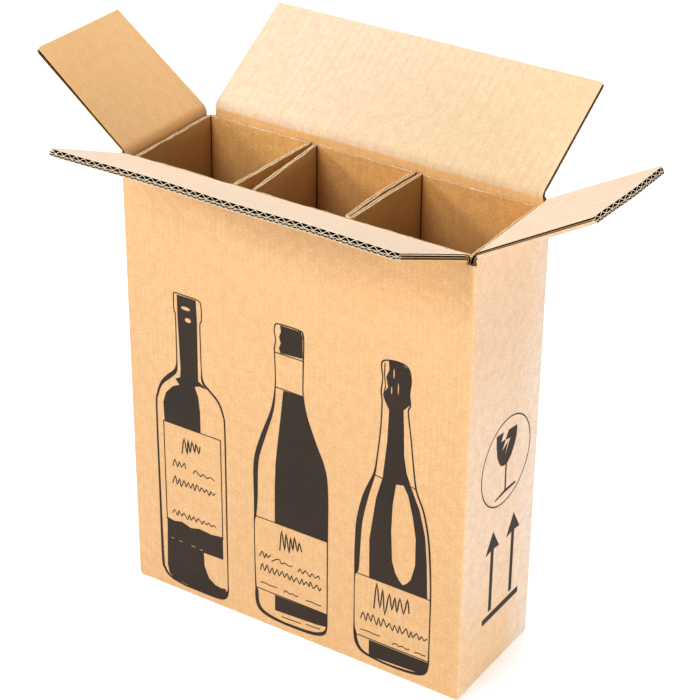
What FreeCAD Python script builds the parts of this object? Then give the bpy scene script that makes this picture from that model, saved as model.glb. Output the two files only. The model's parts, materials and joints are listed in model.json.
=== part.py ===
import FreeCAD, Part
import math
import os
from FreeCAD import Vector

# Shipping carton for three wine bottles: one folded blank of double-wall corrugated
# board with four full-overlap top flaps, and one folded single-wall insert.
# X runs along the front panel, -Y is the front, Z is up, the base rests on z = 0. All mm.

# Board, from the inner face out: liner, coarse flute, liner, fine flute, liner
LINER = 0.35                 # outer and inner facings
MIDDLE = 0.30                # liner between the two flutes
MEDIUM = 0.32                # paper of the fluted mediums
COARSE_PITCH, COARSE_H = 7.5, 2.95
FINE_PITCH, FINE_H = 5.0, 1.85
BOARD = 2 * LINER + MIDDLE + COARSE_H + FINE_H

# Carton
INSIDE_W = 305.0             # inside width, left to right
INSIDE_D = 102.0             # inside depth, front to back
FOLD_R = 4.5                 # outside radius of the upright folds
BASE_R = 4.0                 # outside radius of the bottom folds
BACK_R = 3.0                 # outside radius where the back panel folds under
CAVITY_R = 0.8               # inside radius of the upright folds
PRESS = 0.8                  # end panels stop this far above the table
BACK_EDGE = 1.0              # free edge of the outer bottom flap, short of the back face
SEAM_W, SEAM_H = 0.6, 4.3    # gap beside the outer bottom flap
SEAM_START = 8.0             # the gap starts this far behind the front face
NICK_W, NICK_D, NICK_H = 2.4, 4.0, 3.2   # slot end that shows at each front bottom corner
NICK_IN = 5.0                # middle of the slot end, in from the end face
OUT_W = INSIDE_W + 2 * BOARD
OUT_D = INSIDE_D + 2 * BOARD
FLOOR = 3 * BOARD            # the bottom flaps lie on each other in three layers

# Glued joint tab, outside the back panel at its left end, pressed thinner than the board
TAB_W, TAB_T = 34.0, 3.2
TAB_FOOT = 26.0              # above the table
TAB_HEAD = 15.7              # below the corner slots
TAB_SLANT = 9.0              # rise of its slanted ends
TAB_STRAIGHT = 8.0           # the slant starts this far from the corner

# Insert
INS_T = 3.0                  # single-wall board
INS_H = 375.0                # height of the strip
INS_GAP = 0.6                # to the carton walls
INS_LIFT = 0.1               # clearance to the floor
INS_R = 2.4                  # centre-line radius of its folds
LEAF_GAP = 1.1               # partition to the front run of the strip
OPEN_LEAVES = ((-53.2, -57.5), (-47.0, -40.2))      # x of each leaf: at its fold, at its free edge
LOOP_LEAVES = ((43.2, 40.6, 41.6), (49.4, 46.6, 46.0))   # x: at its fold, at the bow, at the nose
BOW_Y, BOW_R = 2.0, 40.0     # where the looped leaves bow, and the radius there
NOSE_SLACK = 0.15            # the nose is this much short of a half circle

# Flaps
AXIS_IN = 4.2                # fold axis behind the outer face
OPEN_MAX = 200.0             # how far a flap folds back (0 is closed, 90 upright)
INS_CLEAR = 0.2              # closed front flap over the insert
STACK = 0.15                 # clearance between closed flaps
BEAD_R = 1.3                 # rolled board left on the fold line
BEAD_GAP = 0.3
FLANK_GAP = 0.2
EDGE_GAP = 0.5               # flap edge to the wall beside it
ROOT = 8.0                   # pressed strip beside the fold, flutes closed up
LONG_NOTCH, END_NOTCH = 4.0, 3.0         # corners of that strip, cut off at a slant
END_CORNER = 3.5             # rounded outer corners of the end flaps
SLOT_W = 7.3                 # corner slot, cut from the long panels
SLOT_FLOOR = 6.6             # slot bottom below the lowest fold
JOINT_SLOT = 3.0             # the slot beside the glued joint is this much wider
LONG_BEAD, END_BEAD = 4.5, 10.0          # the bead stops this far from the strip ends
END_STRIP = 1.6              # end strips stop short of the front and back faces
BACK_SHORT = 3.4             # closed back flap, short of the front face
LEN_END = 106.0              # end flaps, fold to free edge

# Rest position of each flap
FRONT_OPEN, BACK_OPEN = 156.5, 151.5
RIGHT_OPEN, LEFT_OPEN = 152.5, 145.5

INNER = BOARD - AXIS_IN      # fold axis to the inner face
TOP = FLOOR + INS_LIFT + INS_H
Z_FRONT = TOP + INS_CLEAR + INNER        # the front flap closes first, on the insert
Z_END = Z_FRONT + BOARD + STACK          # then the two end flaps
Z_BACK = Z_END + BOARD + STACK           # the back flap closes over all
SLOT_Z = Z_FRONT - SLOT_FLOOR
BEVEL = math.radians((270.0 - OPEN_MAX) / 2)
OUT_CUT = AXIS_IN / math.tan(BEVEL)      # reach of the outer bevel along the board

HALF_LONG = OUT_W / 2 - SLOT_W           # half width of front and back flap
HALF_END = INSIDE_D / 2 - EDGE_GAP       # half width of the end flaps
LEN_FRONT = OUT_D - BOARD - AXIS_IN - EDGE_GAP
LEN_BACK = OUT_D - AXIS_IN - BACK_SHORT

OVER = 1.0                   # cutters and fused blocks reach this far past a face
FAR = OUT_W + OUT_D          # past the whole carton


def polygon(points, plane):
    """Closed face from 2-D points; plane turns a point into a Vector."""
    return Part.Face(Part.makePolygon([plane(*p) for p in points + points[:1]]))


def box(x0, x1, y0, y1, z0, z1):
    return Part.makeBox(x1 - x0, y1 - y0, z1 - z0, Vector(x0, y0, z0))


def upright(edge):
    a, b = edge.Vertexes[0].Point, edge.Vertexes[-1].Point
    return abs(a.x - b.x) < 1e-6 and abs(a.y - b.y) < 1e-6


def tube(w, d, z0, z1, r):
    block = box(-w / 2, w / 2, -d / 2, d / 2, z0, z1)
    return block.makeFillet(r, [e for e in block.Edges if upright(e)])


def roll(along, at, z, r, inward):
    """What a bottom fold of radius r leaves away: the rim outside its rounding."""
    low, high = sorted((at - inward, at + inward * r))
    if along == "x":
        rim = box(-FAR, FAR, low, high, z - OVER, z + r)
        core = Part.makeCylinder(r, 2 * FAR, Vector(-FAR, at + inward * r, z + r), Vector(1, 0, 0))
    else:
        rim = box(low, high, -FAR, FAR, z - OVER, z + r)
        core = Part.makeCylinder(r, 2 * FAR, Vector(at + inward * r, -FAR, z + r), Vector(0, 1, 0))
    return rim.cut(core)


# A flap is drawn closed: the fold lies on local X, the flap runs to +Y, its outer face
# is up. The turn brings +Y to the inward direction of its own wall.
def hinge(side):
    x, y = OUT_W / 2 - AXIS_IN, OUT_D / 2 - AXIS_IN
    return {"front": (Vector(0, -y, Z_FRONT), 0.0), "back": (Vector(0, y, Z_BACK), 180.0),
            "right": (Vector(x, 0, Z_END), 90.0), "left": (Vector(-x, 0, Z_END), -90.0)}[side]


def seat(shape, side, angle=0.0):
    """Bring a shape from the local frame of a fold to its wall, opened by the angle."""
    origin, turn = hinge(side)
    shape = shape.copy()
    shape.rotate(Vector(), Vector(1, 0, 0), angle)
    shape.rotate(Vector(), Vector(0, 0, 1), turn)
    shape.translate(origin)
    return shape


def flute_row(u0, u1, z0, z1, pitch):
    """Open cells of one flute as triangles, points up and points down in turn."""
    height = z1 - z0
    slope = math.atan2(2 * height, pitch)
    foot = 0.5 * MEDIUM / math.sin(slope)
    tip = 0.5 * MEDIUM / math.cos(slope)
    count = int((u1 - u0 - 2 * LINER) / pitch)
    start = (u0 + u1 - count * pitch) / 2
    cells = []
    for i in range(count):
        a = start + i * pitch
        cells.append([(a + foot, z0), (a + pitch - foot, z0), (a + pitch / 2, z1 - tip)])
        if i:
            cells.append([(a - pitch / 2 + foot, z1), (a, z0 + tip), (a + pitch / 2 - foot, z1)])
    return cells


def fluted_panel(u0, u1, s0, s1):
    """Board with both flutes running along Y, inner face down."""
    low = -INNER + LINER
    mid = low + COARSE_H
    rows = flute_row(u0, u1, low, mid, COARSE_PITCH)
    rows += flute_row(u0, u1, mid + MIDDLE, mid + MIDDLE + FINE_H, FINE_PITCH)
    wires = [[(u0, -INNER), (u1, -INNER), (u1, AXIS_IN), (u0, AXIS_IN)]] + rows
    loops = [Part.makePolygon([Vector(u, s0, z) for u, z in w + w[:1]]) for w in wires]
    face = Part.makeFace(Part.makeCompound(loops), "Part::FaceMakerBullseye")
    return face.extrude(Vector(0, s1 - s0, 0))


def flap(u0, u1, length, notch, corner=0.0):
    """Closed flap: fluted panel, pressed root with its two bevels, room for the bead."""
    panel = fluted_panel(u0, u1, ROOT, length)
    section = [(0, 0), (INNER, -INNER), (ROOT, -INNER), (ROOT, AXIS_IN), (OUT_CUT, AXIS_IN)]
    root = polygon(section, lambda s, z: Vector(u0, s, z)).extrude(Vector(u1 - u0, 0, 0))
    root = root.cut(Part.makeCylinder(BEAD_R + BEAD_GAP, u1 - u0 + 2 * OVER,
                                      Vector(u0 - OVER, 0, 0), Vector(1, 0, 0)))
    for u, way in ((u0, 1), (u1, -1)):
        outline = [(u - way, -OVER), (u + way * notch, -OVER), (u + way * notch, 0),
                   (u, ROOT), (u - way, ROOT)]
        cutter = polygon(outline, lambda x, s: Vector(x, s, -INNER - OVER))
        root = root.cut(cutter.extrude(Vector(0, 0, BOARD + 2 * OVER)))
    shape = panel.fuse(root)
    if corner:
        for u, way in ((u0, 1), (u1, -1)):
            x0, x1 = sorted((u - way, u + way * corner))
            block = box(x0, x1, length - corner, length + OVER, -INNER - OVER, AXIS_IN + OVER)
            post = Part.makeCylinder(corner, BOARD + 2 * OVER,
                                     Vector(u + way * corner, length - corner, -INNER - OVER))
            shape = shape.cut(block.cut(post))
    return shape.removeSplitter()


def wall_top(u0, u1, bead_end, base):
    """Upper strip of a wall under its fold: two bevels and the rolled bead."""
    profile = [(-AXIS_IN, base), (-AXIS_IN, -OUT_CUT - FLANK_GAP), (0, -FLANK_GAP),
               (INNER, -INNER - FLANK_GAP), (INNER, base)]
    strip = polygon(profile, lambda s, z: Vector(u0, s, z)).extrude(Vector(u1 - u0, 0, 0))
    bead = Part.makeCylinder(BEAD_R, u1 - u0 - 2 * bead_end,
                             Vector(u0 + bead_end, 0, 0), Vector(1, 0, 0))
    return strip.fuse(bead)


def joint_tab():
    """The left panel turns round the back corner and is glued on the outside."""
    x, y = -OUT_W / 2, OUT_D / 2
    foot, head = TAB_FOOT, SLOT_Z - TAB_HEAD
    tab = box(x, x + TAB_W, y - FOLD_R, y + TAB_T, foot, head)
    outer = [e for e in tab.Edges if upright(e) and e.BoundBox.YMin > y and e.BoundBox.XMax < x + OVER]
    tab = tab.makeFillet(FOLD_R, outer)
    for z, way in ((foot, 1), (head, -1)):
        outline = [(x + TAB_STRAIGHT, z), (x + TAB_W + OVER, z - way), (x + TAB_W + OVER, z + way * TAB_SLANT)]
        wedge = polygon(outline, lambda u, w: Vector(u, y - FOLD_R - OVER, w))
        tab = tab.cut(wedge.extrude(Vector(0, FOLD_R + TAB_T + 2 * OVER, 0)))
    return tab


def carton():
    body = tube(OUT_W, OUT_D, 0, SLOT_Z, FOLD_R)
    # end panels stop just above the table, then the bottom folds are rounded
    for way in (-1, 1):
        x0, x1 = sorted((way * INSIDE_W / 2, way * FAR))
        body = body.cut(box(x0, x1, -FAR, FAR, -OVER, PRESS))
        body = body.cut(roll("y", way * OUT_W / 2, PRESS, BASE_R, -way))
    body = body.cut(roll("x", -OUT_D / 2, 0, BASE_R, 1))
    # cavity above the two full layers, then the two end flaps lying inside
    body = body.cut(tube(INSIDE_W, INSIDE_D, 2 * BOARD, SLOT_Z + OVER, CAVITY_R))
    for way in (-1, 1):
        x0, x1 = sorted((way * (INSIDE_W / 2 + OVER), way * (OUT_W / 2 - LEN_END)))
        body = body.fuse(box(x0, x1, -HALF_END, HALF_END, 2 * BOARD - OVER, FLOOR))
    # back edge: free edge of the outer bottom flap under the rounded fold of the back panel
    body = body.cut(box(-FAR, FAR, OUT_D / 2 - BACK_EDGE, FAR, -OVER, BOARD))
    groove = roll("x", OUT_D / 2, BOARD, BACK_R, -1)
    body = body.cut(groove.common(box(-INSIDE_W / 2, INSIDE_W / 2, 0, FAR, 0, BOARD + BACK_R)))
    # seams of the outer bottom flap and the small slot ends at the front corners
    for way in (-1, 1):
        x0, x1 = sorted((way * INSIDE_W / 2, way * (INSIDE_W / 2 - SEAM_W)))
        body = body.cut(box(x0, x1, SEAM_START - OUT_D / 2, FAR, -OVER, SEAM_H))
        x = way * (OUT_W / 2 - NICK_IN)
        body = body.cut(box(x - NICK_W / 2, x + NICK_W / 2, -FAR, NICK_D - OUT_D / 2, -OVER, NICK_H))
    body = body.fuse(joint_tab())
    # upper strips, one per wall, with the corner slots left open between them; the local
    # frame of the back fold has X reversed
    half_strip = OUT_D / 2 - END_STRIP
    strips = {"front": (-HALF_LONG, HALF_LONG, LONG_BEAD),
              "back": (-HALF_LONG, HALF_LONG - JOINT_SLOT, LONG_BEAD),
              "right": (-half_strip, half_strip, END_BEAD),
              "left": (-half_strip, half_strip, END_BEAD)}
    for side, (u0, u1, bead_end) in strips.items():
        base = SLOT_Z - OVER - hinge(side)[0].z
        body = body.fuse(seat(wall_top(u0, u1, bead_end, base), side))
    return body.removeSplitter()


def insert_path():
    """Centre line of the folded strip as (x, y, fold radius)."""
    x = INSIDE_W / 2 - INS_GAP - INS_T / 2
    y = INSIDE_D / 2 - INS_GAP - INS_T / 2
    edge = -y + INS_T / 2 + LEAF_GAP
    nose = edge + INS_T / 2
    r = INS_R
    (fold_a, free_a), (fold_d, free_d) = OPEN_LEAVES
    (fold_c, bow_c, nose_c), (fold_b, bow_b, nose_b) = LOOP_LEAVES
    nose_r = (nose_b - nose_c) / 2 - NOSE_SLACK
    return [(free_a, edge, 0), (fold_a, y, r), (-x, y, r), (-x, -y, r), (x, -y, r), (x, y, r),
            (fold_b, y, r), (bow_b, BOW_Y, BOW_R), (nose_b, nose, nose_r),
            (nose_c, nose, nose_r), (bow_c, BOW_Y, BOW_R), (fold_c, y, r),
            (fold_d, y, r), (free_d, edge, 0)]


def offset_path(nodes, off):
    """Lines and arcs of one side of the strip, off to the left of its centre line."""
    points = [Vector(x, y, 0) for x, y, _ in nodes]
    ways = [(b - a).normalize() for a, b in zip(points, points[1:])]
    side = [Vector(-way.y, way.x, 0) * off for way in ways]
    edges = []
    start = points[0] + side[0]
    for i in range(1, len(points) - 1):
        radius = nodes[i][2]
        turn = ways[i - 1].getAngle(ways[i])
        reach = radius * math.tan(turn / 2)
        centre = points[i] + (ways[i] - ways[i - 1]).normalize() * (radius / math.cos(turn / 2))
        bend = points[i] - ways[i - 1] * reach + side[i - 1]
        leave = points[i] + ways[i] * reach + side[i]
        middle = centre + (points[i] - centre).normalize() * (bend - centre).Length
        edges += [Part.makeLine(start, bend), Part.Arc(bend, middle, leave).toShape()]
        start = leave
    edges.append(Part.makeLine(start, points[-1] + side[-1]))
    return edges


def insert():
    nodes = insert_path()
    left, right = offset_path(nodes, INS_T / 2), offset_path(nodes, -INS_T / 2)
    caps = [Part.makeLine(left[i].Vertexes[i].Point, right[i].Vertexes[i].Point) for i in (0, -1)]
    wire = Part.Wire(Part.__sortEdges__(left + right + caps))
    strip = Part.Face(wire).extrude(Vector(0, 0, INS_H))
    strip.translate(Vector(0, 0, FLOOR + INS_LIFT))
    return strip


parts = {
    "case": carton(),
    "front_flap": seat(flap(-HALF_LONG, HALF_LONG, LEN_FRONT, LONG_NOTCH), "front", FRONT_OPEN),
    "back_flap": seat(flap(-HALF_LONG, HALF_LONG - JOINT_SLOT, LEN_BACK, LONG_NOTCH), "back", BACK_OPEN),
    "right_flap": seat(flap(-HALF_END, HALF_END, LEN_END, END_NOTCH, END_CORNER), "right", RIGHT_OPEN),
    "left_flap": seat(flap(-HALF_END, HALF_END, LEN_END, END_NOTCH, END_CORNER), "left", LEFT_OPEN),
    "insert": insert(),
}
os.makedirs("parts", exist_ok=True)
for name, shape in parts.items():
    shape.exportStep("parts/" + name + ".step")
    b = shape.BoundBox
    print(name, shape.isValid(), len(shape.Solids), round(shape.Volume / 1000, 2), "cm3",
          [round(v, 2) for v in (b.XMin, b.XMax, b.YMin, b.YMax, b.ZMin, b.ZMax)])
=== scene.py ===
import json
import math

import bmesh
import bpy
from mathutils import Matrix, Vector, geometry, noise


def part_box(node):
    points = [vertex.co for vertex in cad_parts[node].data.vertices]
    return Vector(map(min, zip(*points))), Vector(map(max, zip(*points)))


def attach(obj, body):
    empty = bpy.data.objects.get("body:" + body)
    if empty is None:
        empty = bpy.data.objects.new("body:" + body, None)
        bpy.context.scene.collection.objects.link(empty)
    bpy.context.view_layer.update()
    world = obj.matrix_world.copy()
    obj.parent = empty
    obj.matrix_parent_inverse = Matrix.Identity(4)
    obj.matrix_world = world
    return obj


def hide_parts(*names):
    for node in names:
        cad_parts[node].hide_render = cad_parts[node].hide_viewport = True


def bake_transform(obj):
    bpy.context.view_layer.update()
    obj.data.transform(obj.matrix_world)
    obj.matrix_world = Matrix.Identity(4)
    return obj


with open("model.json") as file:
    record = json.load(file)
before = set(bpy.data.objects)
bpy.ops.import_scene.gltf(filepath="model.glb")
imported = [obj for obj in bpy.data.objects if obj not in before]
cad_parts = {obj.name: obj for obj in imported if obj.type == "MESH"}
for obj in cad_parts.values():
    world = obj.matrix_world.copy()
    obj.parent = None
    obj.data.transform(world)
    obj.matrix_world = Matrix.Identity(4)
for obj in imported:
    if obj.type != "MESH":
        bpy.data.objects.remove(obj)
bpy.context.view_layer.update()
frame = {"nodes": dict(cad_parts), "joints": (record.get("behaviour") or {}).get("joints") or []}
for leftover in ("Cube", "Light", "Camera"):
    if leftover in bpy.data.objects:
        bpy.data.objects.remove(bpy.data.objects[leftover])
print("frame loaded:", sorted(frame["nodes"]))

# places read from the frame, in metres; front is -Y, and each flap is named for its wall
caseLow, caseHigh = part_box("case")
insertLow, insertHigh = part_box("insert")
halfWide = caseHigh.x                     # outer face of the end walls
halfDeep = -caseLow.y                     # outer face of the front wall
folds = {j["child"]: Vector(j["pos_m"]) for j in frame["joints"]}
opened = {j["child"]: math.radians(-j["range_deg"][0]) for j in frame["joints"]}
axisIn = halfDeep + folds["front"].y      # fold axis behind the outer face
slotDepth = 0.0066                        # set here: from the front fold down to the floor of the slots
slotFloor = folds["front"].z - slotDepth  # walls end here, flaps begin

board = {
    "liner": 0.00042, "middle": 0.00038,
    "finePitch": 0.005, "fineHeight": 0.00173, "finePaper": 0.00036,          # outer flute
    "coarsePitch": 0.0075, "coarseHeight": 0.00285, "coarsePaper": 0.00052,   # inner flute
    "perCoarse": 8, "perFine": 6,                    # facets along one wave
    "peak": 0.93,                                    # 1 gives straight-legged waves
    "inset": 0.0007,                                 # coarse flute stops short of a side cut
    "mapSlant": 0.7,                                 # how far the flat map slides up through the board
}
thick = 2 * board["liner"] + board["middle"] + board["fineHeight"] + board["coarseHeight"]
insertPitch = 0.0065                      # one wave of the insert's single run of fluting


# small helpers
def ramp(value, low, high):               # smooth step from 0 at low to 1 at high
    t = min(1.0, max(0.0, (value - low) / (high - low)))
    return t * t * (3 - 2 * t)


def spread(low, high, count):             # evenly spaced values, both ends included
    return [low + (high - low) * i / (count - 1) for i in range(count)]


def tone(red, green, blue):               # 0-255 screen colour to the renderer's linear one
    return tuple((c / 255 / 12.92) if c <= 10 else ((c / 255 + 0.055) / 1.055) ** 2.4
                 for c in (red, green, blue)) + (1.0,)


# materials: paper read in the board's own flat map (metres along and across the flutes)
def feed(tree, node, values):             # a plain value is set on the socket, another socket is linked to it
    for key, value in values.items():
        if isinstance(value, bpy.types.NodeSocket):
            tree.links.new(value, node.inputs[key])
        else:
            node.inputs[key].default_value = value


def addNode(tree, kind, values=None, **settings):
    node = tree.nodes.new(kind)
    for key, value in settings.items():
        setattr(node, key, value)
    feed(tree, node, values or {})
    return node


def mathStep(tree, operation, first, second=None):
    values = {0: first} if second is None else {0: first, 1: second}
    return addNode(tree, "ShaderNodeMath", values, operation=operation).outputs[0]


def mixTone(tree, factor, first, second):
    return addNode(tree, "ShaderNodeMix", {0: factor, 6: first, 7: second}, data_type="RGBA").outputs[2]


def smoothStep(tree, source, low, high):  # 0 at low, 1 at high, and the other way round if low is above high
    return addNode(tree, "ShaderNodeMapRange", {"Value": source, "From Min": low, "From Max": high},
                   interpolation_type="SMOOTHSTEP").outputs[0]


def scaledMap(tree, source, across, along):
    return addNode(tree, "ShaderNodeMapping", {"Vector": source, "Scale": (across, along, 1.0)}).outputs[0]


def speckle(tree, vector, scale, detail, limits, roughness=0.5):
    texture = addNode(tree, "ShaderNodeTexNoise", {"Vector": vector, "Scale": scale, "Detail": detail,
                                                   "Roughness": roughness})
    return smoothStep(tree, texture.outputs[0], *limits)


speckles = {   # in the order they are laid on; a stretch below 1 makes the grains longer that way
    "mottle": {"scale": 120.0, "detail": 3.0, "limits": (0.34, 0.68), "strength": 0.14, "to": "dark"},
    "fibre": {"scale": 620.0, "detail": 3.0, "limits": (0.36, 0.66), "strength": 0.24, "to": "dark",
              "roughness": 0.6},
    "pale": {"scale": 520.0, "detail": 2.0, "limits": (0.60, 0.72), "strength": 0.30, "to": "light",
             "stretch": (0.7, 1.0)},
    "fleck": {"scale": 480.0, "detail": 2.0, "limits": (0.64, 0.74), "strength": 0.30, "to": "dark",
              "stretch": (1.0, 0.6)},
}
surface = {
    "cloudScale": 11.0, "cloudDetail": 3.0, "cloudLimits": (0.32, 0.70), "cloudStrength": 0.30,
    "fibreRise": 0.5, "mottleRise": 0.4, "ribTone": 0.09, "ribLeast": 0.3,
    "bump": 0.5, "bumpDepth": 0.00005, "roughness": 0.72, "sheenRoughness": 0.35,
}


def paper(name, base, dark, light, pitch=0.0, ribs=0.0, grain=1.0, sheen=0.45, paintedShading=(), shine=0.5):
    material = bpy.data.materials.new(name)
    material.use_nodes = True
    tree = material.node_tree
    shader = tree.nodes["Principled BSDF"]
    flat = addNode(tree, "ShaderNodeUVMap", uv_map="boardMap").outputs[0]
    across, along = addNode(tree, "ShaderNodeSeparateXYZ", {0: flat}).outputs[:2]
    base, dark, light = (tone(*colour) for colour in (base, dark, light))
    for part in paintedShading:                    # painted light and shade: parts of the sheet given another tone
        share = part["by"]
        for key, source in (("across", across), ("until", across), ("along", along)):
            if part[key]:
                share = mathStep(tree, "MULTIPLY", share, smoothStep(tree, source, *part[key]))
        base = mixTone(tree, share, base, tone(*part["base"]))
        light = mixTone(tree, share, light, tone(*part["light"]))
    clouds = speckle(tree, flat, surface["cloudScale"], surface["cloudDetail"], surface["cloudLimits"])
    colour = mixTone(tree, mathStep(tree, "MULTIPLY", clouds, surface["cloudStrength"]), base, light)
    grains = {}
    for key, sizes in speckles.items():
        spots = scaledMap(tree, flat, *sizes["stretch"]) if "stretch" in sizes else flat
        grains[key] = speckle(tree, spots, sizes["scale"], sizes["detail"], sizes["limits"],
                              sizes.get("roughness", 0.5))
        share = mathStep(tree, "MULTIPLY", grains[key], sizes["strength"] * grain)
        colour = mixTone(tree, share, colour, dark if sizes["to"] == "dark" else light)
    height = mathStep(tree, "ADD", mathStep(tree, "MULTIPLY", grains["fibre"], surface["fibreRise"]),
                      mathStep(tree, "MULTIPLY", grains["mottle"], surface["mottleRise"]))
    if pitch:                             # the fluting shows through as faint ribs
        wave = mathStep(tree, "SINE", mathStep(tree, "MULTIPLY", across, 2 * math.pi / pitch))
        uneven = mathStep(tree, "MULTIPLY", wave, mathStep(tree, "ADD", clouds, surface["ribLeast"]))
        height = mathStep(tree, "ADD", height, mathStep(tree, "MULTIPLY", uneven, ribs))
        ridge = mathStep(tree, "MULTIPLY", mathStep(tree, "MAXIMUM", uneven, 0.0), surface["ribTone"])
        colour = mixTone(tree, ridge, colour, dark)
    bump = addNode(tree, "ShaderNodeBump", {"Strength": surface["bump"], "Distance": surface["bumpDepth"],
                                            "Height": height})
    feed(tree, shader, {"Base Color": colour, "Normal": bump.outputs[0], "Roughness": surface["roughness"],
                        "Specular IOR Level": shine, "Sheen Weight": sheen,
                        "Sheen Roughness": surface["sheenRoughness"]})
    return material


def paintedStretch(base, light, across=None, along=None, until=None, by=1.0):
    return {"base": base, "light": light, "across": across, "along": along, "until": until, "by": by}


# painted light and shade: where the sheet is made paler or deeper to stand for how the lamps fall, on the
# flat map, from none of the tone to all of it;
# "until" takes it back to none, and of two that overlap the later one covers the earlier
endWall, backFlap = (0.157, 0.1605), (0.2660, 0.2720)
aboveFold = (0.391, 0.396)
paintedShadingOutside = [
    paintedStretch((255, 203, 139), (255, 214, 158), (0.05, 0.12), (0.33, 0.38)),     # front, upper right: painted light against the shadow of the front flap
    # painted light: the end wall and its back corner made paler, for the side lamp and the slant it is seen
    # at
    paintedStretch((242, 208, 173), (249, 219, 188), endWall),
    paintedStretch((249, 220, 191), (254, 230, 206), endWall, (0.33, 0.22)),          # half way up it
    paintedStretch((247, 208, 163), (252, 218, 176), endWall, (0.13, 0.02)),          # its foot
    paintedStretch((248, 222, 196), (252, 230, 208), (0.225, 0.268)),                 # its back corner
    paintedStretch((253, 233, 213), (255, 240, 224), (0.225, 0.268), (0.33, 0.22)),   # half way up that
    paintedStretch((242, 195, 139), (251, 210, 160), (0.268, 0.274)),                 # back wall
]
paintedShadingInside = [
    paintedStretch((247, 214, 176), (252, 226, 194), (-0.1565, -0.1545), aboveFold),               # front flap: painted sheen, paler as it is seen edge-on
    paintedStretch((253, 230, 202), (255, 238, 216), (0.1545, 0.1575), aboveFold),                 # right flap: painted sheen, paler as it is seen edge-on
    # back flap: painted sheen and light, paler than the left flap
    paintedStretch((248, 226, 194), (253, 235, 209), backFlap, aboveFold),
    paintedStretch((245, 216, 174), (250, 225, 189), backFlap, aboveFold, (0.56, 0.30)),           # its right end
    paintedStretch((246, 194, 124), (250, 212, 154), (0.262, 0.272), (0.4028, 0.4008)),            # painted shade below its crease
    paintedStretch((224, 170, 106), (234, 184, 122), (-0.1545, -0.1565), (0.4040, 0.3985)),        # painted shade along the left flap's crease
]
paintedShadingInsert = [
    paintedStretch((255, 201, 120), (255, 218, 148), (0.095, 0.100), None, (0.190, 0.187)),      # painted light on the back of the left cell
    paintedStretch((190, 152, 98), (206, 170, 116), None, (0.390, 0.31)),                        # painted shade deep in the cells
]
shade, shadeShare, soft = (30, 90, 70), 0.46, 0.002
for begin, end in ((0.190, 0.286), (0.782, 0.875), (1.060, 1.160)):      # painted shade on the cells' left sides, which face away from the lamps
    paintedShadingInsert.append(paintedStretch(shade, shade, (begin, begin + soft), None, (end, end - soft), shadeShare))
finish = {
    "outside": paper("kraftOutside", (242, 195, 139), (206, 153, 98), (251, 210, 160),
                     board["finePitch"], 0.35, 1.6, paintedShading=paintedShadingOutside),
    "inside": paper("kraftInside", (248, 197, 134), (212, 156, 94), (253, 213, 156),
                    board["coarsePitch"], 0.40, 1.15, paintedShading=paintedShadingInside),
    # painted shade: the fluting and the board's hidden faces made near black, for the shade in the hollows
    "flute": paper("kraftFluteInShade", (54, 22, 4), (28, 10, 2), (86, 42, 12), grain=1.5, sheen=0.0, shine=0.0),
    # cut edges: paler paper, raised further to a painted highlight where they face away from the lamps
    "edge": paper("kraftCutEdgeHighlit", (255, 235, 203), (232, 196, 148), (255, 244, 222), grain=1.2),
    "sideCut": paper("kraftSideCut", (198, 148, 82), (126, 82, 36), (230, 188, 128), grain=2.0, sheen=0.1),
    "insert": paper("insertLiner", (249, 190, 111), (193, 133, 66), (254, 210, 138),
                    insertPitch, 0.6, 1.7, sheen=0.15, paintedShading=paintedShadingInsert),
    "insertEdge": paper("insertCutEdge", (250, 222, 176), (196, 152, 100), (255, 238, 204), grain=2.0),
    "insertFlute": paper("insertFlute", (196, 146, 90), (140, 98, 56), (214, 168, 112), grain=1.5, sheen=0.0),
}
slots = list(finish)                      # order of the material slots on every board piece
print("materials made:", ", ".join(slots))


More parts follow.
